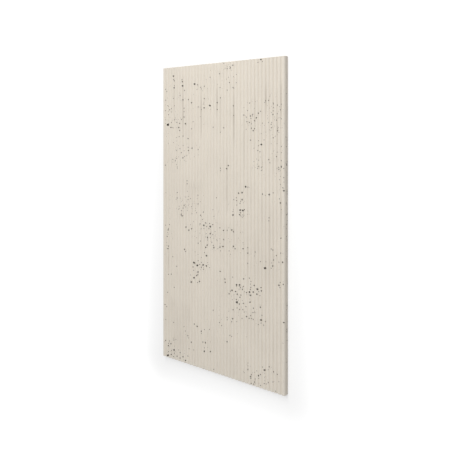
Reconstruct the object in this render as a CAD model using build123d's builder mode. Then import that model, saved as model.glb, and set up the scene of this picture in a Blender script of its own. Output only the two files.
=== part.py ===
"""Concrete wall panel with a reeded face: one cast slab with half-round ribs along its whole length.

The panel lies on its flat back. +X runs across the ribs, +Y along them, and +Z out of the reeded face.
The origin is the centre of the back. All sizes are in millimetres.
"""

import os
from math import asin, degrees

from build123d import *

# Driving dimensions
panel_length = 1200.0
panel_thickness = 20.0  # from the back to the tops of the ribs
rib_count = 37
rib_pitch = 16.2
groove_radius = 1.5  # hollow at the bottom of each groove
arris = 1.0  # width of the bevel round both ends

# Half-round ribs stand side by side, and the outer two run down into the sides of the panel.
panel_width = rib_count * rib_pitch
rib_radius = rib_pitch / 2
side_height = panel_thickness - rib_radius

# Rib and groove are tangent arcs: from the top of a rib to its groove, the face turns by this angle.
flank_degrees = degrees(asin(rib_radius / (rib_radius + groove_radius)))
rib_turn = 2 * flank_degrees
outer_rib_turn = 90 + flank_degrees
groove_turn = 2 * flank_degrees

# Corners of the plain slab under the ribs
left_foot = (-panel_width / 2, 0)
right_foot = (panel_width / 2, 0)
left_shoulder = (-panel_width / 2, side_height)

with BuildPart() as ribbed_panel:
    # Cross-section, drawn on the lower end of the panel
    with BuildSketch(Plane.XZ.offset(panel_length / 2)):
        with BuildLine():
            Line(left_foot, left_shoulder)
            rib = JernArc(left_shoulder, (0, 1), rib_radius, -outer_rib_turn)
            for rib_number in range(2, rib_count + 1):
                turn = outer_rib_turn if rib_number == rib_count else rib_turn
                groove = JernArc(rib @ 1, rib % 1, groove_radius, groove_turn)
                rib = JernArc(groove @ 1, groove % 1, rib_radius, -turn)
            Line(rib @ 1, right_foot)
            Line(right_foot, left_foot)
        make_face()
    extrude(amount=-panel_length)

    # Bevel round both ends, up the sides and along every scallop, but not along the back
    end_edges = ribbed_panel.faces().filter_by(Axis.Y).edges()
    chamfer(end_edges.filter_by_position(Axis.Z, arris, panel_thickness), length=arris)

ribbed_panel.part.label = "ribbed_panel"

os.makedirs("parts", exist_ok=True)
export_step(ribbed_panel.part, "parts/ribbed_panel.step")
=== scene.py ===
"""Reeded concrete wall panel, lying on its back on a pale studio floor.

The panel is one casting. Geometry Nodes sweep the slab from the section of its ribs, and cut the air pores
and the chipped ends out of it as real hollows. Lengths are in metres where nothing says millimetres.
"""

import logging
import math
from collections.abc import Iterable, Sequence
from dataclasses import dataclass, fields
from enum import Enum, IntEnum
from functools import partial, reduce
from typing import ClassVar

import bpy
import numpy as np
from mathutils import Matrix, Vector


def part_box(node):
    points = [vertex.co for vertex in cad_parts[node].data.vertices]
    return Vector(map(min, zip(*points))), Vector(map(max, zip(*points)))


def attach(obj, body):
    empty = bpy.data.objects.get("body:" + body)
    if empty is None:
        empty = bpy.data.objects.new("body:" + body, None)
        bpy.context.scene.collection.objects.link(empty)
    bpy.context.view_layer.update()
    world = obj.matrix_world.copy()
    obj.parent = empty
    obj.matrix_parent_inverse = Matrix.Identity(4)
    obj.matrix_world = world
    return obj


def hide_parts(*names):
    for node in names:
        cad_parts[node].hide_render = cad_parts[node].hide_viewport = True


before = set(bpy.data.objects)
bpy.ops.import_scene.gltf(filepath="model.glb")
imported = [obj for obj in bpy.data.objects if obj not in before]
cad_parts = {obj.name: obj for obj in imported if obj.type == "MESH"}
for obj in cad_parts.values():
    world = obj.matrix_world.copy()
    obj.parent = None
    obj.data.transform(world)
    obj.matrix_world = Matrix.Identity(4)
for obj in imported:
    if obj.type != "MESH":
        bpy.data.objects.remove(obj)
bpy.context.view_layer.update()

log = logging.getLogger("wall_panel")

MILLIMETRE = 0.001
PANEL_NODE = "ribbed_panel"
WHITE = (1.0, 1.0, 1.0, 1.0)

Socket = bpy.types.NodeSocket
Feed = Socket | float | int | bool | str | Sequence[float]
FeedTable = dict[str | int, Feed]
Colour = tuple[float, float, float, float]


class TreeKind(Enum):
    """The two kinds of node tree that the script builds."""

    GEOMETRY = "GeometryNodeTree"
    SHADER = "ShaderNodeTree"


class SocketKind(Enum):
    """The kinds of socket on the script's own node groups."""

    GEOMETRY = "NodeSocketGeometry"
    FLOAT = "NodeSocketFloat"
    INTEGER = "NodeSocketInt"
    VECTOR = "NodeSocketVector"
    COLOUR = "NodeSocketColor"
    MATERIAL = "NodeSocketMaterial"


class MixKind(Enum):
    """What a Mix node blends: its data type, and the numbers of its first input and its output."""

    NUMBER = ("FLOAT", 2, 0)
    VECTOR = ("VECTOR", 4, 1)
    COLOUR = ("RGBA", 6, 2)


class PoreSize(Enum):
    """Width of an air pore at the surface, in millimetres."""

    PIN = 3.0
    SMALL = 3.8
    MIDDLE = 5.2
    LARGE = 7.8
    WIDE = 10.0


class Draw(IntEnum):
    """Numbers of the pores' random draws: two for each spread, three for each vector, else one."""

    ACROSS = 1
    DOWN = 3
    WIDTH = 10
    STRETCH = 12
    TURN = 15
    EDGE_HEIGHT = 31
    PLAIN_SHAPE = 40
    FINE_SHAPE = 41


@dataclass(frozen=True)
class NoiseLayer:
    """Noise with so many features a metre, its octaves of finer detail, and its share in a mix."""

    scale: float
    detail: float
    share: float = 1.0


class NodeBench:
    """Adds nodes to one tree and wires them, so that a network reads as the steps of a recipe."""

    def __init__(self, tree: bpy.types.NodeTree) -> None:
        """Works on the given tree."""
        self.tree = tree

    def feed(self, socket: Socket, value: Feed) -> None:
        """Links a socket to another one, or sets its plain value.

        Args:
            socket: The input that is fed.
            value: The output that it is linked to, or the value that it keeps.
        """
        if isinstance(value, Socket):
            self.tree.links.new(value, socket)
        else:
            socket.default_value = value

    def add(self, kind: str, inputs: FeedTable | None = None, **options: object) -> bpy.types.Node:
        """Adds a node.

        Args:
            kind: Blender's name for the type of node.
            inputs: What each socket gets, by the socket's name or number: another socket or a plain value.
            **options: Settings of the node itself.

        Returns:
            The new node.
        """
        node = self.tree.nodes.new(kind)
        for name, value in options.items():
            setattr(node, name, value)
        for key, value in (inputs or {}).items():
            self.feed(node.inputs[key], value)
        return node

    def group(self, tree: bpy.types.NodeTree, inputs: FeedTable) -> bpy.types.Node:
        """Node that holds one of the script's own node groups, with its sockets fed."""
        is_geometry = tree.bl_idname == TreeKind.GEOMETRY.value
        return self.add("GeometryNodeGroup" if is_geometry else "ShaderNodeGroup", inputs, node_tree=tree)

    def math(self, operation: str, *values: Feed) -> Socket:
        """Result of a Math node on the given values."""
        return self.add("ShaderNodeMath", dict(enumerate(values)), operation=operation).outputs[0]

    def times(self, *values: Feed) -> Socket:
        """Product of all the values."""
        return reduce(partial(self.math, "MULTIPLY"), values)

    def plus(self, *values: Feed) -> Socket:
        """Sum of all the values."""
        return reduce(partial(self.math, "ADD"), values)

    def minus(self, first: Feed, second: Feed) -> Socket:
        """The first value less the second."""
        return self.math("SUBTRACT", first, second)

    def clamp(self, value: Feed, low: Feed, high: Feed) -> Socket:
        """Value kept between a low and a high end."""
        return self.math("MINIMUM", self.math("MAXIMUM", value, low), high)

    def blend(self, share: Feed, first: Feed, second: Feed, kind: MixKind = MixKind.NUMBER) -> Socket:
        """Blends two values.

        Args:
            share: How far the blend has gone from the first value, at 0, to the second, at 1.
            first: The first value.
            second: The second value.
            kind: Whether they are numbers, vectors or colours.

        Returns:
            The blend.
        """
        data_type, slot, output = kind.value
        inputs = {0: share, slot: first, slot + 1: second}
        return self.add("ShaderNodeMix", inputs, data_type=data_type).outputs[output]

    def ramp(self, value: Feed, low: Feed, high: Feed) -> Socket:
        """Smooth step of a value, from 0 at the low end to 1 at the high end."""
        inputs = {"Value": value, "From Min": low, "From Max": high}
        return self.add("ShaderNodeMapRange", inputs, interpolation_type="SMOOTHSTEP").outputs[0]

    def vector(self, x: Feed = 0.0, y: Feed = 0.0, z: Feed = 0.0) -> Socket:
        """Vector of three values."""
        return self.add("ShaderNodeCombineXYZ", {0: x, 1: y, 2: z}).outputs[0]

    def axes(self, vector: Socket) -> bpy.types.NodeOutputs:
        """The three values of a vector, by the names X, Y and Z."""
        return self.add("ShaderNodeSeparateXYZ", {0: vector}).outputs

    def scaled(self, vector: Feed, factor: Feed) -> Socket:
        """Vector times a number."""
        return self.add("ShaderNodeVectorMath", {0: vector, "Scale": factor}, operation="SCALE").outputs[0]

    def combined(self, operation: str, first: Feed, second: Feed) -> Socket:
        """Result of a Vector Math node on two vectors."""
        return self.add("ShaderNodeVectorMath", {0: first, 1: second}, operation=operation).outputs[0]

    def noise(self, place: Socket, layer: NoiseLayer) -> Socket:
        """Plain noise of one layer, at full strength."""
        inputs = {"Vector": place, "Scale": layer.scale, "Detail": layer.detail}
        return self.add("ShaderNodeTexNoise", inputs).outputs[0]


class SurfaceBench(NodeBench):
    """The emptied tree of a material or a world, with its output."""

    def __init__(self, owner: bpy.types.Material | bpy.types.World, output: str) -> None:
        """Empties the owner's tree, and adds its output.

        Args:
            owner: The material or world.
            output: Blender's name for its output node.
        """
        owner.use_nodes = True
        owner.node_tree.nodes.clear()
        super().__init__(owner.node_tree)
        self.surface = self.add(output).inputs["Surface"]


class GroupBench(NodeBench):
    """A new node group with named sockets, ready to be filled."""

    def __init__(
        self,
        name: str,
        kind: TreeKind,
        inputs: dict[str, SocketKind],
        outputs: dict[str, SocketKind],
    ) -> None:
        """Makes the group.

        Args:
            name: Name of the group.
            kind: Geometry or shader tree.
            inputs: Names and kinds of its input sockets.
            outputs: Names and kinds of its output sockets.
        """
        super().__init__(bpy.data.node_groups.new(name, kind.value))
        for in_out, sockets in (("INPUT", inputs), ("OUTPUT", outputs)):
            for socket_name, socket_kind in sockets.items():
                self.tree.interface.new_socket(socket_name, in_out=in_out, socket_type=socket_kind.value)
        self.inlet = self.tree.nodes.new("NodeGroupInput").outputs
        self.outlet = self.tree.nodes.new("NodeGroupOutput").inputs

    def pick(self, names: Iterable[str]) -> dict[str, Socket]:
        """The group's own inputs with those names."""
        return {name: self.inlet[name] for name in names}

    def give(self, values: dict[str, Feed]) -> bpy.types.NodeTree:
        """Sends values out of the group.

        Args:
            values: What each output gets, by its name.

        Returns:
            The group's tree.
        """
        for name, value in values.items():
            self.feed(self.outlet[name], value)
        return self.tree

    def identifier(self, name: str) -> str:
        """Identifier of the input socket with that name, by which a modifier sets it."""
        sockets = self.tree.interface.items_tree
        return next(item.identifier for item in sockets if item.in_out == "INPUT" and item.name == name)


class FieldBench(GroupBench):
    """A geometry group, with the fields that its points carry."""

    def __init__(self, name: str, inputs: dict[str, SocketKind], outputs: dict[str, SocketKind]) -> None:
        """Makes the group, with named inputs and outputs."""
        super().__init__(name, TreeKind.GEOMETRY, inputs, outputs)

    def index(self) -> Socket:
        """Number of each point."""
        return self.add("GeometryNodeInputIndex").outputs["Index"]

    def position(self) -> Socket:
        """Place of each point."""
        return self.add("GeometryNodeInputPosition").outputs["Position"]

    def read(self, name: str, data_type: str = "FLOAT") -> Socket:
        """Named attribute of each point."""
        return self.add("GeometryNodeInputNamedAttribute", {"Name": name}, data_type=data_type).outputs[0]

    def store(self, geometry: Socket, name: str, value: Feed) -> Socket:
        """Geometry whose points carry a number under that name."""
        inputs = {"Geometry": geometry, "Name": name, "Value": value}
        return self.add("GeometryNodeStoreNamedAttribute", inputs, domain="POINT").outputs[0]

    def move(self, geometry: Socket, offset: Socket) -> Socket:
        """Geometry with each point moved by an offset."""
        return self.add("GeometryNodeSetPosition", {"Geometry": geometry, "Offset": offset}).outputs[0]

    def drop(self, geometry: Socket, selection: Socket) -> Socket:
        """Geometry without the selected points."""
        inputs = {"Geometry": geometry, "Selection": selection}
        return self.add("GeometryNodeDeleteGeometry", inputs, domain="POINT").outputs[0]

    def polyline(self, count: Feed, place: Socket) -> Socket:
        """Mesh line of so many points, each at its place."""
        points = self.add("GeometryNodeMeshLine", {"Count": count}).outputs["Mesh"]
        return self.add("GeometryNodeSetPosition", {"Geometry": points, "Position": place}).outputs[0]

    def curve(self, line: Socket) -> Socket:
        """Mesh line as a curve."""
        return self.add("GeometryNodeMeshToCurve", {"Mesh": line}).outputs["Curve"]

    def random(self, draw: int, low: float, high: float) -> Socket:
        """Random number for each point, from a draw of its own."""
        inputs = {2: low, 3: high, "Seed": self.plus(self.inlet["Seed"], float(draw))}
        return self.add("FunctionNodeRandomValue", inputs, data_type="FLOAT").outputs[1]

    def random_vector(self, draw: int, low: float, high: float) -> Socket:
        """Random vector for each point, with all three values between the same ends."""
        return self.vector(*(self.random(draw + axis, low, high) for axis in range(3)))


@dataclass
class ReededSlab:
    """The plain slab with its ribs: the section's sizes, and the node group that sweeps it."""

    width: float
    length: float
    thickness: float
    rib_count: int = 37
    groove_radius: float = 1.5 * MILLIMETRE
    arris: float = 1.0 * MILLIMETRE
    unevenness: float = 0.1 * MILLIMETRE
    waviness: NoiseLayer = NoiseLayer(14.0, 1.0)

    # Facets of half a rib, of a groove and of the round down to a side, and their length along the ribs
    flank_steps: int = 5
    groove_steps: int = 4
    side_steps: int = 7
    row_spacing: float = 35.0 * MILLIMETRE

    LEAN: ClassVar[str] = "lean"

    @property
    def pitch(self) -> float:
        """Distance from rib to rib."""
        return self.width / self.rib_count

    def values(self) -> dict[str, float | int]:
        """Gathers the sizes and counts that shape the slab.

        Returns:
            The values, by the names of the sockets that they go to.
        """
        return {
            "Rib Pitch": self.pitch,
            "Groove Radius": self.groove_radius,
            "Thickness": self.thickness,
            "Half Width": self.width / 2,
            "Rib Count": self.rib_count,
            "Half Length": self.length / 2,
            "Arris": self.arris,
            "Rows": round(self.length / self.row_spacing),
            "Unevenness": self.unevenness,
        }

    def sockets(self) -> dict[str, SocketKind]:
        """Kinds of those sockets: integers for counts, and floats for sizes."""
        kinds = {int: SocketKind.INTEGER, float: SocketKind.FLOAT}
        return {name: kinds[type(value)] for name, value in self.values().items()}

    def slab_group(self) -> bpy.types.NodeTree:
        """Builds the group that sweeps the section along the panel into one closed slab.

        Returns:
            A group that puts out the slab's mesh.
        """
        bench = FieldBench("reeded_slab", self.sockets(), {"Mesh": SocketKind.GEOMETRY})
        sweep = {"Curve": self.length_curve(bench), "Profile Curve": self.section_curve(bench)}
        slab = bench.add("GeometryNodeCurveToMesh", {**sweep, "Fill Caps": True}).outputs["Mesh"]
        return bench.give({"Mesh": self.finish_skin(bench, slab)})

    @staticmethod
    def arcs(bench: FieldBench) -> tuple[Socket, Socket, Socket, Socket]:
        """Works out the tangent arcs of rib and groove.

        Args:
            bench: The slab's group.

        Returns:
            The rib's radius, the angle its flank turns by, and the heights of the rib's and the groove's
            centres above the back.
        """
        inlet = bench.inlet
        rib_radius = bench.times(inlet["Rib Pitch"], 0.5)
        both_radii = bench.plus(rib_radius, inlet["Groove Radius"])
        flank = bench.math("ARCSINE", bench.math("DIVIDE", rib_radius, both_radii))
        rib_axis = bench.minus(inlet["Thickness"], rib_radius)
        groove_axis = bench.plus(rib_axis, bench.times(both_radii, bench.math("COSINE", flank)))
        return rib_radius, flank, rib_axis, groove_axis

    def section_curve(self, bench: FieldBench) -> Socket:
        """Draws the closed section: back corner, up over all the ribs, and down to the other back corner.

        The points are counted from the first rib's top. Each carries its lean, the angle by which the skin
        leans to the right there.

        Args:
            bench: The slab's group.

        Returns:
            The section as a closed curve. Its Y points down, because the sweep turns it over.
        """
        inlet = bench.inlet
        rib_radius, flank, rib_axis, groove_axis = self.arcs(bench)
        groove_radius = inlet["Groove Radius"]
        period = 2.0 * self.flank_steps + self.groove_steps
        last_top = bench.times(bench.minus(inlet["Rib Count"], 1.0), period)
        step = bench.minus(bench.index(), self.side_steps + 1.0)

        # Between the first and last tops, the skin leans out to each groove's flanks and back again
        inner = bench.clamp(step, 0.0, last_top)
        rib = bench.math("FLOOR", bench.math("DIVIDE", inner, period))
        into_rib = bench.minus(inner, bench.times(rib, period))
        past_groove = bench.minus(into_rib, period / 2)
        side = bench.math("SIGN", past_groove)
        off_groove = bench.math("ABSOLUTE", past_groove)
        up_groove = bench.math("DIVIDE", off_groove, self.groove_steps / 2)
        down_rib = bench.math("DIVIDE", bench.minus(period / 2, off_groove), self.flank_steps)
        share = bench.math("MINIMUM", up_groove, down_rib)
        inner_lean = bench.times(side, share, flank, -1.0)

        # Beyond them it turns right down to the sides
        outside = bench.minus(step, inner)
        on_side = bench.clamp(outside, -self.side_steps, self.side_steps)
        lean = bench.plus(inner_lean, bench.times(on_side, math.pi / 2 / self.side_steps))
        sine = bench.math("SINE", lean)
        cosine = bench.math("COSINE", lean)

        # Points on the arcs of ribs and grooves
        grooves = bench.times(bench.plus(rib, 1.0), inlet["Rib Pitch"])
        groove_x = bench.minus(grooves, inlet["Half Width"])
        top_x = bench.plus(groove_x, bench.times(side, rib_radius))
        rib_x = bench.plus(top_x, bench.times(rib_radius, sine))
        rib_z = bench.plus(rib_axis, bench.times(rib_radius, cosine))
        low_x = bench.minus(groove_x, bench.times(groove_radius, sine))
        low_z = bench.minus(groove_axis, bench.times(groove_radius, cosine))
        is_groove = bench.math("LESS_THAN", off_groove, self.groove_steps / 2)
        x = bench.blend(is_groove, rib_x, low_x)
        z = bench.blend(is_groove, rib_z, low_z)

        # The first and last points are the corners on the back
        is_skin = bench.math("LESS_THAN", bench.math("ABSOLUTE", outside), self.side_steps + 0.5)
        place = bench.vector(x, bench.times(z, is_skin, -1.0))
        line = bench.polyline(bench.plus(last_top, 2.0 * self.side_steps + 3.0), place)
        curve = bench.curve(bench.store(line, self.LEAN, lean))
        return bench.add("GeometryNodeSetSplineCyclic", {0: curve, "Cyclic": True}).outputs[0]

    @staticmethod
    def length_curve(bench: FieldBench) -> Socket:
        """Draws the line that the section is swept along, with a short first and last stretch for the bevel.

        Args:
            bench: The slab's group.

        Returns:
            The line as a curve from the lower end to the upper end.
        """
        inlet = bench.inlet
        inner_half = bench.minus(inlet["Half Length"], inlet["Arris"])
        inner_rows = bench.minus(inlet["Rows"], 2.0)
        spacing = bench.math("DIVIDE", bench.times(inner_half, 2.0), inner_rows)
        along = bench.times(bench.minus(bench.index(), 1.0), spacing)
        lowest = bench.times(inlet["Half Length"], -1.0)
        y = bench.clamp(bench.minus(along, inner_half), lowest, inlet["Half Length"])
        return bench.curve(bench.polyline(bench.plus(inlet["Rows"], 1.0), bench.vector(0.0, y)))

    def finish_skin(self, bench: FieldBench, slab: Socket) -> Socket:
        """Bevels both ends along every scallop, and gives the skin the slight waviness of a casting.

        Args:
            bench: The slab's group.
            slab: The swept slab.

        Returns:
            The slab with its ends bevelled and the same flat back.
        """
        inlet = bench.inlet
        position = bench.position()
        place = bench.axes(position)
        half_arris = bench.times(inlet["Arris"], 0.5)
        bevel_start = bench.minus(inlet["Half Length"], half_arris)
        at_end = bench.math("GREATER_THAN", bench.math("ABSOLUTE", place["Y"]), bevel_start)
        bevel = bench.times(at_end, inlet["Arris"])
        swing = bench.minus(bench.noise(position, self.waviness), 0.5)
        off_back = bench.math("GREATER_THAN", place["Z"], inlet["Arris"])
        wave = bench.times(swing, 2.0, inlet["Unevenness"], off_back)
        rise = bench.minus(wave, bevel)
        lean = bench.read(self.LEAN)
        across = bench.times(rise, bench.math("SINE", lean))
        up = bench.times(rise, bench.math("COSINE", lean))
        finished = bench.move(slab, bench.vector(across, 0.0, up))
        return bench.add("GeometryNodeRemoveAttribute", {0: finished, "Name": self.LEAN}).outputs[0]


@dataclass(frozen=True)
class PoreSeed:
    """Pores or chips round one place, in millimetres from the panel's upper left corner and its back.

    The smallest width and how far a pore is sunk are shares of its width and radius. A seed with no heights
    lies on the face, and one that is sighted lies where the camera sees its place.
    """

    across: float
    down: float
    reach_across: float = 0.0
    reach_down: float = 0.0
    amount: int = 1
    width: float = PoreSize.PIN.value
    lowest: float = 0.0
    highest: float = 0.0
    smallest: float = 0.55
    sunk: float = 0.55
    is_sighted: bool = False


@dataclass(frozen=True)
class StainMark:
    """A soft dark patch. Places are in millimetres from the panel's upper left corner."""

    across: float
    down: float
    reach_across: float
    reach_down: float
    strength: float

    def fade(self, across: np.ndarray, down: np.ndarray) -> np.ndarray:
        """Strength of the stain at each place, which fades from its middle to its reach.

        Args:
            across: Millimetres from the panel's left edge.
            down: Millimetres from its top edge.

        Returns:
            The strengths.
        """
        fade_across = np.clip(1.0 - ((across - self.across) / self.reach_across) ** 2, 0.0, 1.0)
        fade_down = np.clip(1.0 - ((down - self.down) / self.reach_down) ** 2, 0.0, 1.0)
        return self.strength * fade_across * fade_down


@dataclass(frozen=True)
class GrooveStreak:
    """A dark streak along one groove, counted from the left, between two distances from the top edge."""

    groove: int
    start: float
    end: float
    strength: float

    def stain(self, pitch: float, reach: float) -> StainMark:
        """The streak as a long patch, for grooves at that pitch, with so much reach to each side."""
        middle = (self.start + self.end) / 2
        return StainMark(self.groove * pitch, middle, reach, self.end - middle, self.strength)


# Pores seen on the face and listed one by one, in millimetres across and down from the upper left corner
FACE_PORES: dict[PoreSize, tuple[tuple[int, int], ...]] = {
    PoreSize.WIDE: (
        (29, 236), (29, 1192), (190, 797), (388, 907),
    ),
    PoreSize.LARGE: (
        (61, 36), (65, 85), (112, 80), (176, 75), (226, 172), (256, 164), (498, 314), (164, 331),
        (114, 371), (584, 392), (410, 494), (505, 494), (532, 494), (594, 476), (402, 560), (415, 560),
        (369, 581), (224, 634), (258, 635), (246, 680), (234, 720), (276, 716), (131, 650), (148, 661),
        (34, 739), (515, 761), (173, 788), (221, 791), (238, 792), (196, 822), (173, 849), (158, 868),
        (389, 877), (407, 877), (497, 952), (228, 1129), (65, 1162), (364, 866), (445, 859), (480, 843),
        (512, 1130), (427, 471),
    ),
    PoreSize.MIDDLE: (
        (68, 56), (90, 248), (15, 404), (110, 62), (114, 136), (308, 136), (294, 180), (292, 154),
        (160, 149), (117, 206), (68, 216), (46, 247), (50, 227), (128, 233), (115, 283), (474, 216),
        (446, 233), (456, 238), (469, 227), (456, 254), (462, 263), (486, 200), (496, 5), (569, 264),
        (144, 341), (345, 395), (339, 407), (440, 472), (394, 497), (410, 520), (580, 520), (424, 556),
        (400, 577), (84, 536), (119, 564), (116, 575), (103, 602), (108, 607), (257, 664), (242, 710),
        (161, 654), (25, 700), (29, 750), (197, 708), (361, 638), (324, 644), (372, 644), (324, 678),
        (321, 706), (306, 710), (371, 699), (378, 707), (416, 703), (438, 716), (472, 708), (548, 748),
        (582, 645), (587, 729), (122, 741), (238, 752), (213, 801), (168, 806), (187, 837), (202, 858),
        (330, 829), (331, 841), (419, 815), (386, 842), (399, 840), (350, 882), (381, 868), (413, 854),
        (432, 863), (450, 870), (462, 856), (467, 831), (498, 846), (478, 861), (399, 912), (369, 939),
        (448, 896), (494, 906), (432, 952), (367, 973), (190, 1039), (229, 1043), (214, 1054), (341, 1066),
        (574, 813), (159, 1109), (231, 1094), (258, 1123), (17, 1133), (46, 1141), (32, 1152), (50, 1184),
        (81, 1184), (98, 1187), (114, 1178), (127, 1190), (439, 1147), (457, 1161), (486, 1157),
        (494, 1151), (473, 1173), (532, 1113), (175, 1033), (594, 941), (450, 1170), (450, 209), (326, 251),
        (31, 672),
    ),
    PoreSize.SMALL: (
        # Upper left
        (16, 88), (23, 97), (62, 50), (66, 76), (108, 54), (61, 128), (118, 170), (117, 184), (122, 98),
        (144, 136), (192, 79), (208, 90), (213, 97), (227, 87), (256, 53), (213, 178), (227, 136),
        (39, 174), (48, 183), (33, 194), (80, 227), (96, 231), (105, 215), (57, 247), (95, 260), (94, 285),
        (141, 293), (166, 225), (160, 254), (272, 248), (15, 177), (97, 334), (78, 342), (195, 336),
        (105, 350), (142, 328), (133, 362), (122, 366), (79, 375), (70, 384), (57, 379), (134, 463),
        (135, 475), (82, 514), (142, 539), (155, 534), (196, 552), (160, 566), (90, 581), (106, 586),
        (187, 588), (163, 594), (222, 582), (278, 594), (208, 596),
        # Upper right
        (504, 12), (483, 14), (367, 15), (342, 26), (304, 43), (352, 80), (342, 108), (369, 100),
        (371, 169), (372, 205), (446, 161), (437, 189), (420, 205), (458, 203), (452, 218), (468, 256),
        (495, 193), (517, 156), (530, 155), (551, 168), (568, 174), (584, 170), (580, 190), (549, 205),
        (584, 222), (539, 241), (542, 253), (550, 289), (510, 297), (450, 298), (310, 268), (503, 236),
        (486, 318), (483, 336), (491, 340), (585, 320), (586, 342), (564, 356), (585, 370), (531, 368),
        (538, 379), (571, 395), (571, 402), (486, 394), (499, 398), (482, 401), (499, 408), (311, 406),
        (311, 416), (550, 486), (375, 523), (385, 515), (386, 525), (576, 506), (590, 466), (594, 430),
        (594, 397), (404, 570), (408, 582), (420, 577), (532, 577), (531, 588),
        # Lower left
        (16, 654), (37, 649), (57, 780), (79, 816), (34, 856), (48, 853), (128, 749), (180, 744),
        (208, 698), (217, 612), (205, 630), (234, 623), (254, 624), (270, 627), (239, 637), (250, 644),
        (280, 653), (204, 667), (270, 666), (258, 678), (244, 690), (264, 697), (272, 708), (295, 718),
        (230, 741), (213, 762), (196, 777), (244, 778), (212, 782), (203, 792), (223, 807), (171, 819),
        (193, 833), (192, 864), (28, 931), (12, 985), (22, 991), (62, 1049), (118, 1054), (128, 1071),
        (145, 1095), (219, 1095), (227, 1116), (253, 1038), (272, 959), (171, 1137), (149, 1138),
        (39, 1131), (100, 1164), (50, 1167), (33, 1176), (67, 1175), (62, 1190), (275, 1188),
        # Lower right
        (342, 642), (306, 636), (350, 719), (358, 731), (309, 724), (438, 696), (438, 754), (367, 816),
        (444, 808), (452, 819), (305, 803), (311, 803), (385, 847), (404, 849), (418, 843), (423, 862),
        (451, 841), (449, 849), (488, 850), (491, 864), (497, 834), (357, 871), (373, 882), (401, 886),
        (385, 897), (548, 691), (541, 688), (563, 709), (581, 698), (553, 726), (574, 731), (541, 757),
        (494, 740), (592, 807), (578, 821), (579, 803), (429, 916), (399, 932), (415, 930), (462, 957),
        (454, 955), (444, 956), (461, 932), (470, 930), (501, 934), (507, 968), (516, 954), (485, 971),
        (343, 973), (343, 982), (362, 985), (410, 963), (303, 1001), (314, 1010), (354, 1039), (362, 1041),
        (439, 1123), (439, 1133), (505, 1121), (551, 1126), (568, 1131), (423, 1163), (488, 1167),
        (453, 1194), (463, 1194), (521, 1178), (529, 1171), (495, 1190), (560, 1193),
        # Fainter ones of the lower half
        (65, 905), (62, 1122), (90, 1156), (140, 1169), (140, 1087), (17, 1046), (497, 963), (451, 945),
        (463, 915), (419, 906), (388, 929), (451, 1176), (468, 1185), (549, 1163), (511, 1179),
    ),
}

# Fine pores that lie between the others, too many to place one by one
PORE_CLUSTERS = tuple(PoreSeed(*row) for row in (
    (60, 200, 90, 120, 70), (90, 350, 110, 70, 45), (230, 120, 110, 130, 34), (345, 60, 60, 70, 34),
    (350, 24, 30, 16, 16), (450, 215, 50, 90, 44), (545, 240, 80, 130, 88), (490, 395, 40, 40, 30),
    (570, 420, 40, 140, 34), (400, 545, 60, 60, 34), (120, 560, 110, 60, 76), (240, 660, 100, 110, 88),
    (40, 690, 50, 120, 14), (370, 690, 110, 80, 24), (530, 720, 90, 90, 24), (200, 810, 70, 90, 32),
    (420, 880, 120, 100, 60), (340, 990, 80, 60, 16), (200, 1060, 120, 90, 18), (70, 1160, 90, 60, 40),
    (490, 1160, 100, 60, 36), (300, 600, 420, 850, 80),
))

EDGE_MARKS = tuple(PoreSeed(*row, sunk=0.0) for row in (
    # Nicks in the rims of both ends, and a worn lower left corner
    (300, 0.6, 420, 0.4, 26, 2.6), (300, 1199.4, 420, 0.4, 44, 3.2), (2, 1198.5, 1.5, 0.5, 3, 3.6),
    # Pores in the ends and the sides
    (300, 1, 420, 0, 46, 4.0, 3, 13), (300, 1199, 420, 0, 46, 4.0, 3, 13),
    (1, 600, 0, 850, 80, 4.0, 3, 11), (598.4, 600, 0, 850, 80, 4.0, 3, 11),
))

GROOVE_STREAKS = tuple(GrooveStreak(*row) for row in (
    # Upper half
    (4, 70, 215, 0.7), (7, 30, 300, 1.1), (13, 75, 310, 1.1), (18, 70, 215, 1.1), (19, 80, 300, 0.6),
    (21, 330, 610, 0.8), (23, 85, 350, 1.3), (26, 160, 480, 0.6), (29, 90, 260, 0.5),
    (31, 330, 410, 0.5), (31, 490, 620, 0.6), (32, 70, 215, 1.1), (35, 200, 330, 0.7),
    (36, 75, 215, 1.1), (36, 500, 620, 0.7),
    # Lower half
    (2, 745, 860, 0.9), (5, 950, 1180, 0.4), (8, 950, 1050, 0.4), (9, 950, 1050, 0.4),
    (12, 590, 710, 0.4), (13, 590, 760, 0.4), (14, 900, 1030, 0.4), (22, 750, 890, 0.6),
    (23, 590, 710, 0.5), (27, 610, 900, 0.5), (29, 620, 810, 0.35), (30, 620, 810, 0.35),
    (31, 1010, 1110, 0.5), (32, 690, 910, 0.4), (33, 490, 900, 0.6), (34, 530, 910, 0.4),
    (34, 980, 1110, 0.5),
))

STAIN_MARKS = tuple(StainMark(*row) for row in (
    (180, 490, 60, 25, 0.3), (250, 505, 30, 15, 0.3), (57, 985, 25, 35, 0.35), (130, 1000, 40, 60, 0.3),
    (90, 1100, 60, 90, 0.3), (520, 780, 90, 130, 0.2),
))


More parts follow.
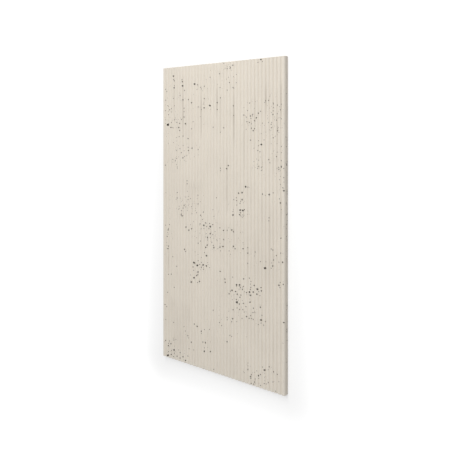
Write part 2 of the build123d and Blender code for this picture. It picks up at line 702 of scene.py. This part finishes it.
@dataclass
class AirPores:
    """Air pores and edge chips: where they lie, and the node group that turns them into cutters."""

    slab: ReededSlab
    placed: dict[PoreSize, tuple[tuple[int, int], ...]]
    scattered: Sequence[PoreSeed]
    seen_from: tuple[float, float, float]
    seed: int = 7

    # Placed pores were seen on a plane this far below the tops of the ribs
    sight_depth: float = 2.0 * MILLIMETRE
    ray_length: float = 100.0 * MILLIMETRE
    # Part of a rib, counted from the groove on its left, that its crest hides from the camera
    blind_strip: tuple[float, float] = (0.06, 0.38)
    # Cosines between which a flank turns away, and how much wider its pores are there
    turned_away: tuple[float, float] = (0.45, 0.95)
    widest_aside: float = 1.25

    # Pebbles with few facets, and finer ones for pores wider than so many millimetres
    plain_shapes: int = 4
    plain_subdivisions: int = 1
    fine_shapes: int = 3
    fine_subdivisions: int = 2
    fine_from: float = 6.0
    # How rough they are, the step through the noise from one to the next, and how far each is stretched
    roughness: float = 0.36
    roughness_scale: float = 0.9
    shape_step: float = 3.1
    stretch: tuple[float, float] = (0.85, 1.18)

    # Keeps a draw among the shapes below the number that follows the last
    SHORT_OF_NEXT: ClassVar[float] = 0.01

    def seed_mesh(self) -> bpy.types.Mesh:
        """Lays out one point for each placed pore, cluster and row of edge marks.

        Returns:
            A mesh of loose points that carry the amount, reach and sizes of what is scattered round them.
        """
        seeds = [
            PoreSeed(self.in_sight(across), down, width=size.value, smallest=1.0, is_sighted=True)
            for size, places in self.placed.items()
            for across, down in places
        ]
        seeds += self.scattered
        mesh = bpy.data.meshes.new("pore_seeds")
        mesh.from_pydata([self.on_panel(seed.across, seed.down) for seed in seeds], [], [])
        carried = [field for field in fields(PoreSeed) if field.name not in ("across", "down")]
        for field in carried:
            attribute = mesh.attributes.new(field.name, "INT" if field.type is int else "FLOAT", "POINT")
            attribute.data.foreach_set("value", [getattr(seed, field.name) for seed in seeds])
        return mesh

    def in_sight(self, across: float) -> float:
        """Moves a place off the strip behind a rib's crest, where a pore would hardly be seen.

        Args:
            across: Millimetres from the panel's left edge.

        Returns:
            The same place, or the nearer end of that strip.
        """
        low, high = self.blind_strip
        pitch = self.slab.pitch / MILLIMETRE
        rib, phase = divmod(across / pitch, 1.0)
        if low < phase < high:
            phase = low if phase - low < high - phase else high
        return (rib + phase) * pitch

    def on_panel(self, across: float, down: float) -> Vector:
        """Finds a point on the plane of sight.

        Args:
            across: Millimetres from the panel's left edge.
            down: Millimetres from its top edge.

        Returns:
            The point.
        """
        slab = self.slab
        x = across * MILLIMETRE - slab.width / 2
        y = slab.length / 2 - down * MILLIMETRE
        return Vector((x, y, slab.thickness - self.sight_depth))

    def cutter_group(self) -> bpy.types.NodeTree:
        """Builds the group that scatters the pores' cutters over the skin.

        Returns:
            A group from seed points and the plain slab to instances of rough pebbles.
        """
        inputs = {
            "Seeds": SocketKind.GEOMETRY,
            "Slab": SocketKind.GEOMETRY,
            "Half Width": SocketKind.FLOAT,
            "Half Length": SocketKind.FLOAT,
            "Seen From": SocketKind.VECTOR,
            "Seed": SocketKind.INTEGER,
        }
        bench = FieldBench("air_pores", inputs, {"Cutters": SocketKind.GEOMETRY})
        points = self.seat(bench, self.scatter(bench))
        is_fine = bench.math("GREATER_THAN", bench.read("width"), self.fine_from)
        plain_end = self.plain_shapes - self.SHORT_OF_NEXT
        plain = bench.random(Draw.PLAIN_SHAPE, 0.0, plain_end)
        fine = bench.random(Draw.FINE_SHAPE, self.plain_shapes, self.fine_shapes + plain_end)
        placed = {
            "Points": points,
            "Instance": self.pebbles(bench),
            "Pick Instance": True,
            "Instance Index": bench.math("FLOOR", bench.blend(is_fine, plain, fine)),
            "Rotation": bench.random_vector(Draw.TURN, 0.0, math.tau),
            "Scale": bench.scaled(bench.random_vector(Draw.STRETCH, *self.stretch), self.radius(bench)),
        }
        return bench.give({"Cutters": bench.add("GeometryNodeInstanceOnPoints", placed).outputs[0]})

    @staticmethod
    def scatter(bench: FieldBench) -> Socket:
        """Spreads copies of the seeds over their reach, densest in the middle, and gives each its width.

        Args:
            bench: The pores' group.

        Returns:
            The points, with none beyond the panel's edges.
        """
        inlet = bench.inlet
        duplicate = {"Geometry": inlet["Seeds"], "Amount": bench.read("amount", "INT")}
        copies = bench.add("GeometryNodeDuplicateElements", duplicate, domain="POINT").outputs[0]
        offsets = []
        for draw, reach in ((Draw.ACROSS, "reach_across"), (Draw.DOWN, "reach_down")):
            spread = bench.plus(bench.random(draw, -0.5, 0.5), bench.random(draw + 1, -0.5, 0.5))
            offsets.append(bench.times(spread, bench.read(reach), MILLIMETRE))
        moved = bench.move(copies, bench.vector(*offsets))
        place = bench.axes(bench.position())
        spill = bench.minus(bench.math("ABSOLUTE", place["X"]), inlet["Half Width"])
        overrun = bench.minus(bench.math("ABSOLUTE", place["Y"]), inlet["Half Length"])
        beyond = bench.math("GREATER_THAN", bench.math("MAXIMUM", spill, overrun), MILLIMETRE)
        skew = bench.math("POWER", bench.random(Draw.WIDTH, 0.0, 1.0), 2.0)
        share = bench.blend(skew, bench.read("smallest"), 1.0)
        width = bench.times(bench.read("width"), share)
        return bench.store(bench.drop(moved, beyond), "width", width)

    @staticmethod
    def radius(bench: FieldBench) -> Socket:
        """Works out the radius of each pore under the skin, wider than its mouth because its middle is sunk.

        Args:
            bench: The pores' group.

        Returns:
            The radius.
        """
        half_mouth = bench.times(bench.read("width"), MILLIMETRE / 2)
        sunk_square = bench.math("POWER", bench.read("sunk"), 2.0)
        mouth_share = bench.math("SQRT", bench.minus(1.0, sunk_square))
        return bench.math("DIVIDE", half_mouth, mouth_share)

    def seat(self, bench: FieldBench, points: Socket) -> Socket:
        """Moves each point onto the skin, and sinks it a little.

        A placed pore goes where the line of sight through its point meets the face, a scattered one straight
        down to the face, and an edge pore to a height of its own. On a flank that turns away from that line,
        a pore is sunk along it and widened.

        Args:
            bench: The pores' group.
            points: The scattered points.

        Returns:
            The points where the pores' middles lie.
        """
        position = bench.position()
        to_eye = bench.combined("SUBTRACT", bench.inlet["Seen From"], position)
        sight = bench.add("ShaderNodeVectorMath", {0: to_eye}, operation="NORMALIZE").outputs[0]
        outward = bench.blend(bench.read("is_sighted"), (0.0, 0.0, 1.0), sight, MixKind.VECTOR)
        ray = {
            "Target Geometry": bench.inlet["Slab"],
            "Source Position": bench.combined("ADD", position, bench.scaled(outward, self.ray_length / 2)),
            "Ray Direction": bench.scaled(outward, -1.0),
            "Ray Length": self.ray_length,
        }
        hit = bench.add("GeometryNodeRaycast", ray).outputs
        normal = hit["Hit Normal"]
        dot = bench.add("ShaderNodeVectorMath", {0: normal, 1: outward}, operation="DOT_PRODUCT")
        facing = bench.ramp(dot.outputs["Value"], *self.turned_away)
        sink = bench.times(self.radius(bench), bench.read("sunk"), -1.0)
        inward = bench.scaled(bench.blend(facing, outward, normal, MixKind.VECTOR), sink)
        on_face = bench.combined("ADD", hit["Hit Position"], inward)
        rise = bench.random(Draw.EDGE_HEIGHT, 0.0, 1.0)
        edge_height = bench.blend(rise, bench.read("lowest"), bench.read("highest"))
        place = bench.axes(position)
        on_edge = bench.vector(place["X"], place["Y"], bench.times(edge_height, MILLIMETRE))
        is_edge = bench.math("GREATER_THAN", bench.read("highest"), 0.0)
        is_seated = bench.math("MAXIMUM", hit["Is Hit"], is_edge)
        seated = bench.store(points, "is_seated", is_seated)
        widened = bench.times(bench.read("width"), bench.blend(facing, self.widest_aside, 1.0))
        moved = bench.add("GeometryNodeSetPosition", {
            "Geometry": bench.store(seated, "width", widened),
            "Position": bench.blend(is_edge, on_face, on_edge, MixKind.VECTOR),
        }).outputs[0]
        return bench.drop(moved, bench.math("LESS_THAN", bench.read("is_seated"), 0.5))

    def pebbles(self, bench: FieldBench) -> Socket:
        """Makes a handful of rough pebbles of unit radius, whose negatives are the pores.

        Args:
            bench: The pores' group.

        Returns:
            One instance for each shape.
        """
        joined = bench.add("GeometryNodeJoinGeometry")
        for number in range(self.plain_shapes + self.fine_shapes):
            is_plain = number < self.plain_shapes
            subdivisions = self.plain_subdivisions if is_plain else self.fine_subdivisions
            ball = bench.add("GeometryNodeMeshIcoSphere", {"Subdivisions": subdivisions}).outputs["Mesh"]
            position = bench.position()
            noise = bench.add("ShaderNodeTexNoise", {
                "Vector": position,
                "W": self.shape_step * number,
                "Scale": self.roughness_scale,
                "Detail": 1.0,
            }, noise_dimensions="4D").outputs[0]
            swell = bench.times(bench.minus(noise, 0.5), 2.0 * self.roughness)
            rough = bench.move(ball, bench.scaled(position, swell))
            shape = bench.add("GeometryNodeGeometryToInstance", {0: rough}).outputs[0]
            bench.feed(joined.inputs[0], shape)
        return joined.outputs[0]


@dataclass(frozen=True)
class CastConcrete:
    """Warm white cast concrete: colours, stains and grain, with painted shade in its grooves and pores."""

    depth_name: str = "pore_depth"
    # The stain map and the stain colour carry the stains and also the painted shade in every groove
    stain_name: str = "stain"
    body: Colour = (0.728, 0.675, 0.591, 1.0)
    shade: Colour = (0.688, 0.635, 0.554, 1.0)
    stain: Colour = (0.40, 0.355, 0.295, 1.0)
    # Painted shade: pores and chips darken with depth towards this colour, in place of the shade inside them
    hollow: Colour = (0.11, 0.092, 0.07, 1.0)
    hollow_depths: tuple[float, float] = (0.2 * MILLIMETRE, 1.3 * MILLIMETRE)
    stain_share: float = 0.35
    roughness: float = 0.9
    gloss: float = 0.3

    # Clouds, mottle and sand, whose sum leads from the body's colour to its shade
    mottling: tuple[NoiseLayer, ...] = (
        NoiseLayer(7.0, 3.0, 0.45),
        NoiseLayer(140.0, 2.0, 0.3),
        NoiseLayer(450.0, 3.0, 0.25),
    )
    mottling_ends: tuple[float, float] = (0.35, 0.65)
    # Streaks that thin and thicken a stain, drawn out along the ribs
    streaks: NoiseLayer = NoiseLayer(160.0, 2.0)
    streak_squeeze: float = 0.15
    streak_ends: tuple[float, float] = (0.4, 1.6)
    grain: NoiseLayer = NoiseLayer(700.0, 4.0)
    grain_strength: float = 0.25
    grain_height: float = 0.4 * MILLIMETRE

    def material(self) -> bpy.types.Material:
        """Builds the material.

        Returns:
            The finished concrete.
        """
        made = bpy.data.materials.new("cast_concrete")
        bench = SurfaceBench(made, "ShaderNodeOutputMaterial")
        place = bench.add("ShaderNodeTexCoord").outputs["Object"]
        skin = bench.group(self.skin_group(), {"Place": place}).outputs
        depth = bench.add("ShaderNodeAttribute", attribute_name=self.depth_name).outputs["Fac"]
        # Stains, and the painted shade in every groove, darken the skin towards the stain colour
        stain = bench.add("ShaderNodeAttribute", attribute_name=self.stain_name).outputs["Fac"]
        stain_and_shade_share = bench.times(stain, skin["Streaks"], self.stain_share)
        colour = bench.blend(stain_and_shade_share, skin["Colour"], self.stain, MixKind.COLOUR)
        # Painted shade: the deeper a point lies in a pore or chip, the darker it is painted
        pore_shade_share = bench.ramp(depth, *self.hollow_depths)
        colour = bench.blend(pore_shade_share, colour, self.hollow, MixKind.COLOUR)
        bump = bench.add("ShaderNodeBump", {
            "Height": skin["Grain"],
            "Strength": self.grain_strength,
            "Distance": self.grain_height,
        }).outputs[0]
        shader = bench.add("ShaderNodeBsdfPrincipled", {
            "Base Color": colour,
            "Roughness": self.roughness,
            "Specular IOR Level": self.gloss,
            "Normal": bump,
        })
        bench.feed(bench.surface, shader.outputs[0])
        return made

    def skin_group(self) -> bpy.types.NodeTree:
        """Builds the shader group of the plain skin.

        Returns:
            A group from a place to the skin's colour with its clouds and sand, the streaks in a stain, and
            the height of its fine grain.
        """
        outputs = {"Colour": SocketKind.COLOUR, "Streaks": SocketKind.FLOAT, "Grain": SocketKind.FLOAT}
        bench = GroupBench("concrete_skin", TreeKind.SHADER, {"Place": SocketKind.VECTOR}, outputs)
        place = bench.inlet["Place"]
        layers = [bench.times(bench.noise(place, layer), layer.share) for layer in self.mottling]
        share = bench.ramp(bench.plus(*layers), *self.mottling_ends)
        axis = bench.axes(place)
        drawn_out = bench.vector(axis["X"], bench.times(axis["Y"], self.streak_squeeze), axis["Z"])
        streaks = bench.blend(bench.noise(drawn_out, self.streaks), *self.streak_ends)
        grain = bench.noise(place, self.grain)
        colour = bench.blend(share, self.body, self.shade, MixKind.COLOUR)
        return bench.give({"Colour": colour, "Streaks": streaks, "Grain": grain})


@dataclass
class WallPanel:
    """The whole panel: the reeded slab with its pores, in its concrete."""

    slab: ReededSlab
    pores: AirPores
    finish: CastConcrete
    streaks: Sequence[GrooveStreak]
    stains: Sequence[StainMark]
    streak_reach: float = 5.0  # millimetres to each side of a groove
    # Painted shade: how far every groove is darkened towards the stain colour
    groove_dust: float = 0.1
    weld_distance: float = 0.01 * MILLIMETRE
    sharp_angle: float = math.radians(38.0)

    def tree(self) -> FieldBench:
        """Builds the tree that cuts the pores out of the slab and marks how deep each point lies.

        Returns:
            The finished tree.
        """
        slab = self.slab
        inputs = {
            "Geometry": SocketKind.GEOMETRY,
            **slab.sockets(),
            "Seen From": SocketKind.VECTOR,
            "Seed": SocketKind.INTEGER,
            "Material": SocketKind.MATERIAL,
        }
        bench = FieldBench("wall_panel", inputs, {"Geometry": SocketKind.GEOMETRY})
        inlet = bench.inlet
        blank = bench.group(slab.slab_group(), bench.pick(slab.values())).outputs["Mesh"]
        pore_inputs = bench.pick(("Half Width", "Half Length", "Seen From", "Seed"))
        pore_inputs |= {"Seeds": inlet["Geometry"], "Slab": blank}
        cutters = bench.group(self.pores.cutter_group(), pore_inputs).outputs["Cutters"]
        solids = {"Mesh 1": blank, "Mesh 2": cutters}
        cut = bench.add("GeometryNodeMeshBoolean", solids, operation="DIFFERENCE", solver="MANIFOLD")
        weld = {"Geometry": cut.outputs["Mesh"], "Distance": self.weld_distance}
        clean = bench.add("GeometryNodeMergeByDistance", weld).outputs[0]
        skin = bench.add("GeometryNodeProximity", {"Geometry": blank}, target_element="FACES").outputs
        marked = bench.store(clean, self.finish.depth_name, skin["Distance"])
        real = bench.add("GeometryNodeRealizeInstances", {"Geometry": self.shade(bench, marked)}).outputs[0]
        dressed = {"Geometry": real, "Material": inlet["Material"]}
        bench.give({"Geometry": bench.add("GeometryNodeSetMaterial", dressed).outputs[0]})
        return bench

    def shade(self, bench: FieldBench, cast: Socket) -> Socket:
        """Smooths the ribs, and keeps the rims of the pores and the edges crisp.

        Args:
            bench: The panel's tree.
            cast: The panel.

        Returns:
            The panel with its shading set.
        """
        smooth_inputs = {0: cast, "Shade Smooth": True}
        smooth = bench.add("GeometryNodeSetShadeSmooth", smooth_inputs, domain="FACE").outputs[0]
        angle = bench.add("GeometryNodeInputMeshEdgeAngle").outputs["Unsigned Angle"]
        is_sharp = bench.math("GREATER_THAN", angle, self.sharp_angle)
        crisp = {0: smooth, "Selection": is_sharp, "Shade Smooth": False}
        return bench.add("GeometryNodeSetShadeSmooth", crisp, domain="EDGE").outputs[0]

    def build(self) -> bpy.types.Object:
        """Makes the panel as one plain mesh.

        Returns:
            The panel's object, at the origin.
        """
        bench = self.tree()
        seeds = add_object("pore_seeds", self.pores.seed_mesh())
        modifier = seeds.modifiers.new("casting", "NODES")
        modifier.node_group = bench.tree
        values = {
            **self.slab.values(),
            "Seen From": self.pores.seen_from,
            "Seed": self.pores.seed,
            "Material": self.finish.material(),
        }
        for name, value in values.items():
            modifier[bench.identifier(name)] = value
        depsgraph = bpy.context.evaluated_depsgraph_get()
        mesh = bpy.data.meshes.new_from_object(seeds.evaluated_get(depsgraph), depsgraph=depsgraph)
        mesh.name = "cast_panel"
        bpy.data.objects.remove(seeds)
        self.paint_stains(mesh)
        return add_object("cast_panel", mesh)

    def paint_stains(self, mesh: bpy.types.Mesh) -> None:
        """Stores how strongly each point is darkened by the stains and by painted shade in every groove.

        Args:
            mesh: The panel's mesh.
        """
        slab = self.slab
        places = np.empty(3 * len(mesh.vertices), dtype=np.float32)
        mesh.vertices.foreach_get("co", places)
        x, y, _ = places.reshape(-1, 3).T
        across = (x + slab.width / 2) / MILLIMETRE
        down = (slab.length / 2 - y) / MILLIMETRE
        pitch = slab.pitch / MILLIMETRE
        reach = self.streak_reach
        # Painted shade in a soft band along every groove, where shade falls between the ribs; the stains and
        # streaks lie over it
        from_groove = np.abs((across + pitch / 2) % pitch - pitch / 2)
        stain = self.groove_dust * np.clip(1.0 - (from_groove / reach) ** 2, 0.0, 1.0)
        for mark in (*self.stains, *(streak.stain(pitch, reach) for streak in self.streaks)):
            stain = np.maximum(stain, mark.fade(across, down))
        attribute = mesh.attributes.new(self.finish.stain_name, "FLOAT", "POINT")
        attribute.data.foreach_set("value", stain)

    def declare(self, panel: bpy.types.Object) -> None:
        """Ties the panel to the frame, in place of its plain solid.

        Args:
            panel: The panel's object.
        """
        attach(panel, "root")
        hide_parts(PANEL_NODE)


@dataclass
class StudioFloor:
    """A wide pale floor that looks white, and glows less near the panel so that its shadow stays."""

    panel_width: float
    panel_length: float
    half_size: float = 60.0
    colour: Colour = (0.8, 0.8, 0.8, 1.0)
    near_glow: float = 0.2
    far_glow: float = 0.75
    glow_reach: float = 0.35

    def build(self) -> bpy.types.Object:
        """Makes the floor under the panel.

        Returns:
            The floor.
        """
        side = self.half_size
        corners = [(-side, -side, 0.0), (side, -side, 0.0), (side, side, 0.0), (-side, side, 0.0)]
        mesh = bpy.data.meshes.new("studio_floor")
        mesh.from_pydata(corners, [], [(0, 1, 2, 3)])
        mesh.materials.append(self.material())
        floor = add_object("studio_floor", mesh)
        return floor

    def material(self) -> bpy.types.Material:
        """Makes a pale matt floor, with a glow that only the eye and reflections see.

        Returns:
            The floor's material.
        """
        made = bpy.data.materials.new("pale_floor")
        bench = SurfaceBench(made, "ShaderNodeOutputMaterial")
        matt = bench.add("ShaderNodeBsdfDiffuse", {"Color": self.colour}).outputs[0]
        strength = bench.times(seen_directly(bench), self.glow(bench))
        glow = bench.add("ShaderNodeEmission", {"Strength": strength}).outputs[0]
        both = bench.add("ShaderNodeAddShader", {0: matt, 1: glow}).outputs[0]
        bench.feed(bench.surface, both)
        return made

    def glow(self, bench: NodeBench) -> Socket:
        """Works out how strongly the floor glows at each place.

        Args:
            bench: The floor's material.

        Returns:
            The strength, which rises with the distance from the panel.
        """
        place = bench.axes(bench.add("ShaderNodeTexCoord").outputs["Object"])
        squares = []
        for axis, size in (("X", self.panel_width), ("Y", self.panel_length)):
            beyond = bench.minus(bench.math("ABSOLUTE", place[axis]), size / 2)
            squares.append(bench.math("POWER", bench.math("MAXIMUM", beyond, 0.0), 2.0))
        distance = bench.math("SQRT", bench.plus(*squares))
        return bench.blend(bench.ramp(distance, 0.0, self.glow_reach), self.near_glow, self.far_glow)


@dataclass(frozen=True)
class Softbox:
    """A square lamp that faces the middle of the panel."""

    name: str
    place: tuple[float, float, float]
    side: float
    power: float

    def build(self) -> None:
        """Adds the lamp to the scene."""
        lamp = bpy.data.lights.new(self.name, "AREA")
        lamp.shape = "SQUARE"
        lamp.size = self.side
        lamp.energy = self.power
        holder = add_object(self.name, lamp)
        holder.location = self.place
        holder.rotation_euler = Vector(self.place).to_track_quat("Z", "Y").to_euler()


@dataclass
class StudioLight:
    """Softboxes above the panel's upper half, beyond its top edge and above its lower end, and a surround."""

    surround: float = 0.41
    boxes: tuple[Softbox, ...] = (
        Softbox("key_box", (0.3, 0.8, 1.9), 1.0, 12.5),
        Softbox("top_box", (0.0, 1.5, 1.2), 1.0, 10.0),
        Softbox("low_box", (0.3, -0.9, 1.6), 1.0, 7.5),
    )

    def build(self) -> None:
        """Makes the softboxes and the surround."""
        for box in self.boxes:
            box.build()
        self.world()

    def world(self) -> None:
        """Surrounds the scene with soft light that looks white when seen directly."""
        world = bpy.data.worlds.new("studio")
        bench = SurfaceBench(world, "ShaderNodeOutputWorld")
        strength = bench.blend(seen_directly(bench), self.surround, 1.0)
        sky = bench.add("ShaderNodeBackground", {"Color": WHITE, "Strength": strength})
        bench.feed(bench.surface, sky.outputs[0])
        bpy.context.scene.world = world


@dataclass
class PhotoCamera:
    """Camera that looks down on the panel from its right, kept square to its length by a shifted lens."""

    place: tuple[float, float, float] = (1.35596, 0.31501, 1.70529)
    turn: float = 0.66585  # radians about the ribs' direction
    lens: float = 44.9448
    shift: float = -0.196435

    def build(self) -> None:
        """Makes the camera and gives it to the scene."""
        data = bpy.data.cameras.new("photo_camera")
        data.lens = self.lens
        data.shift_y = self.shift
        camera = add_object("photo_camera", data)
        camera.location = self.place
        camera.rotation_euler = (0.0, self.turn, 0.0)
        bpy.context.scene.camera = camera


def add_object(name: str, data: bpy.types.ID) -> bpy.types.Object:
    """Makes an object and links it to the scene.

    Args:
        name: The object's name.
        data: Its mesh, lamp or camera.

    Returns:
        The object, at the origin.
    """
    made = bpy.data.objects.new(name, data)
    bpy.context.scene.collection.objects.link(made)
    return made


def seen_directly(bench: NodeBench) -> Socket:
    """Share that is 1 for what the camera sees directly, in a reflection or through glass, and else 0.

    Args:
        bench: The tree to work in.

    Returns:
        The share.
    """
    path = bench.add("ShaderNodeLightPath").outputs
    eye_or_gloss = bench.math("MAXIMUM", path["Is Camera Ray"], path["Is Glossy Ray"])
    return bench.math("MAXIMUM", eye_or_gloss, path["Is Transmission Ray"])


def main() -> None:
    """Builds the panel, the floor, the light and the camera in order."""
    logging.basicConfig(level=logging.INFO, format="%(name)s: %(message)s")
    low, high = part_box(PANEL_NODE)
    slab = ReededSlab(width=high.x - low.x, length=high.y - low.y, thickness=high.z - low.z)
    camera = PhotoCamera()
    pores = AirPores(slab, FACE_PORES, (*PORE_CLUSTERS, *EDGE_MARKS), camera.place)
    panel = WallPanel(slab, pores, CastConcrete(), GROOVE_STREAKS, STAIN_MARKS)
    piece = panel.build()
    panel.declare(piece)
    log.info("%s: %d faces, stands for %s", piece.name, len(piece.data.polygons), PANEL_NODE)
    floor = StudioFloor(slab.width, slab.length).build()
    log.info("%s: stage", floor.name)
    StudioLight().build()
    camera.build()
    bpy.context.scene.view_settings.view_transform = "Standard"


if __name__ == "__main__":
    main()
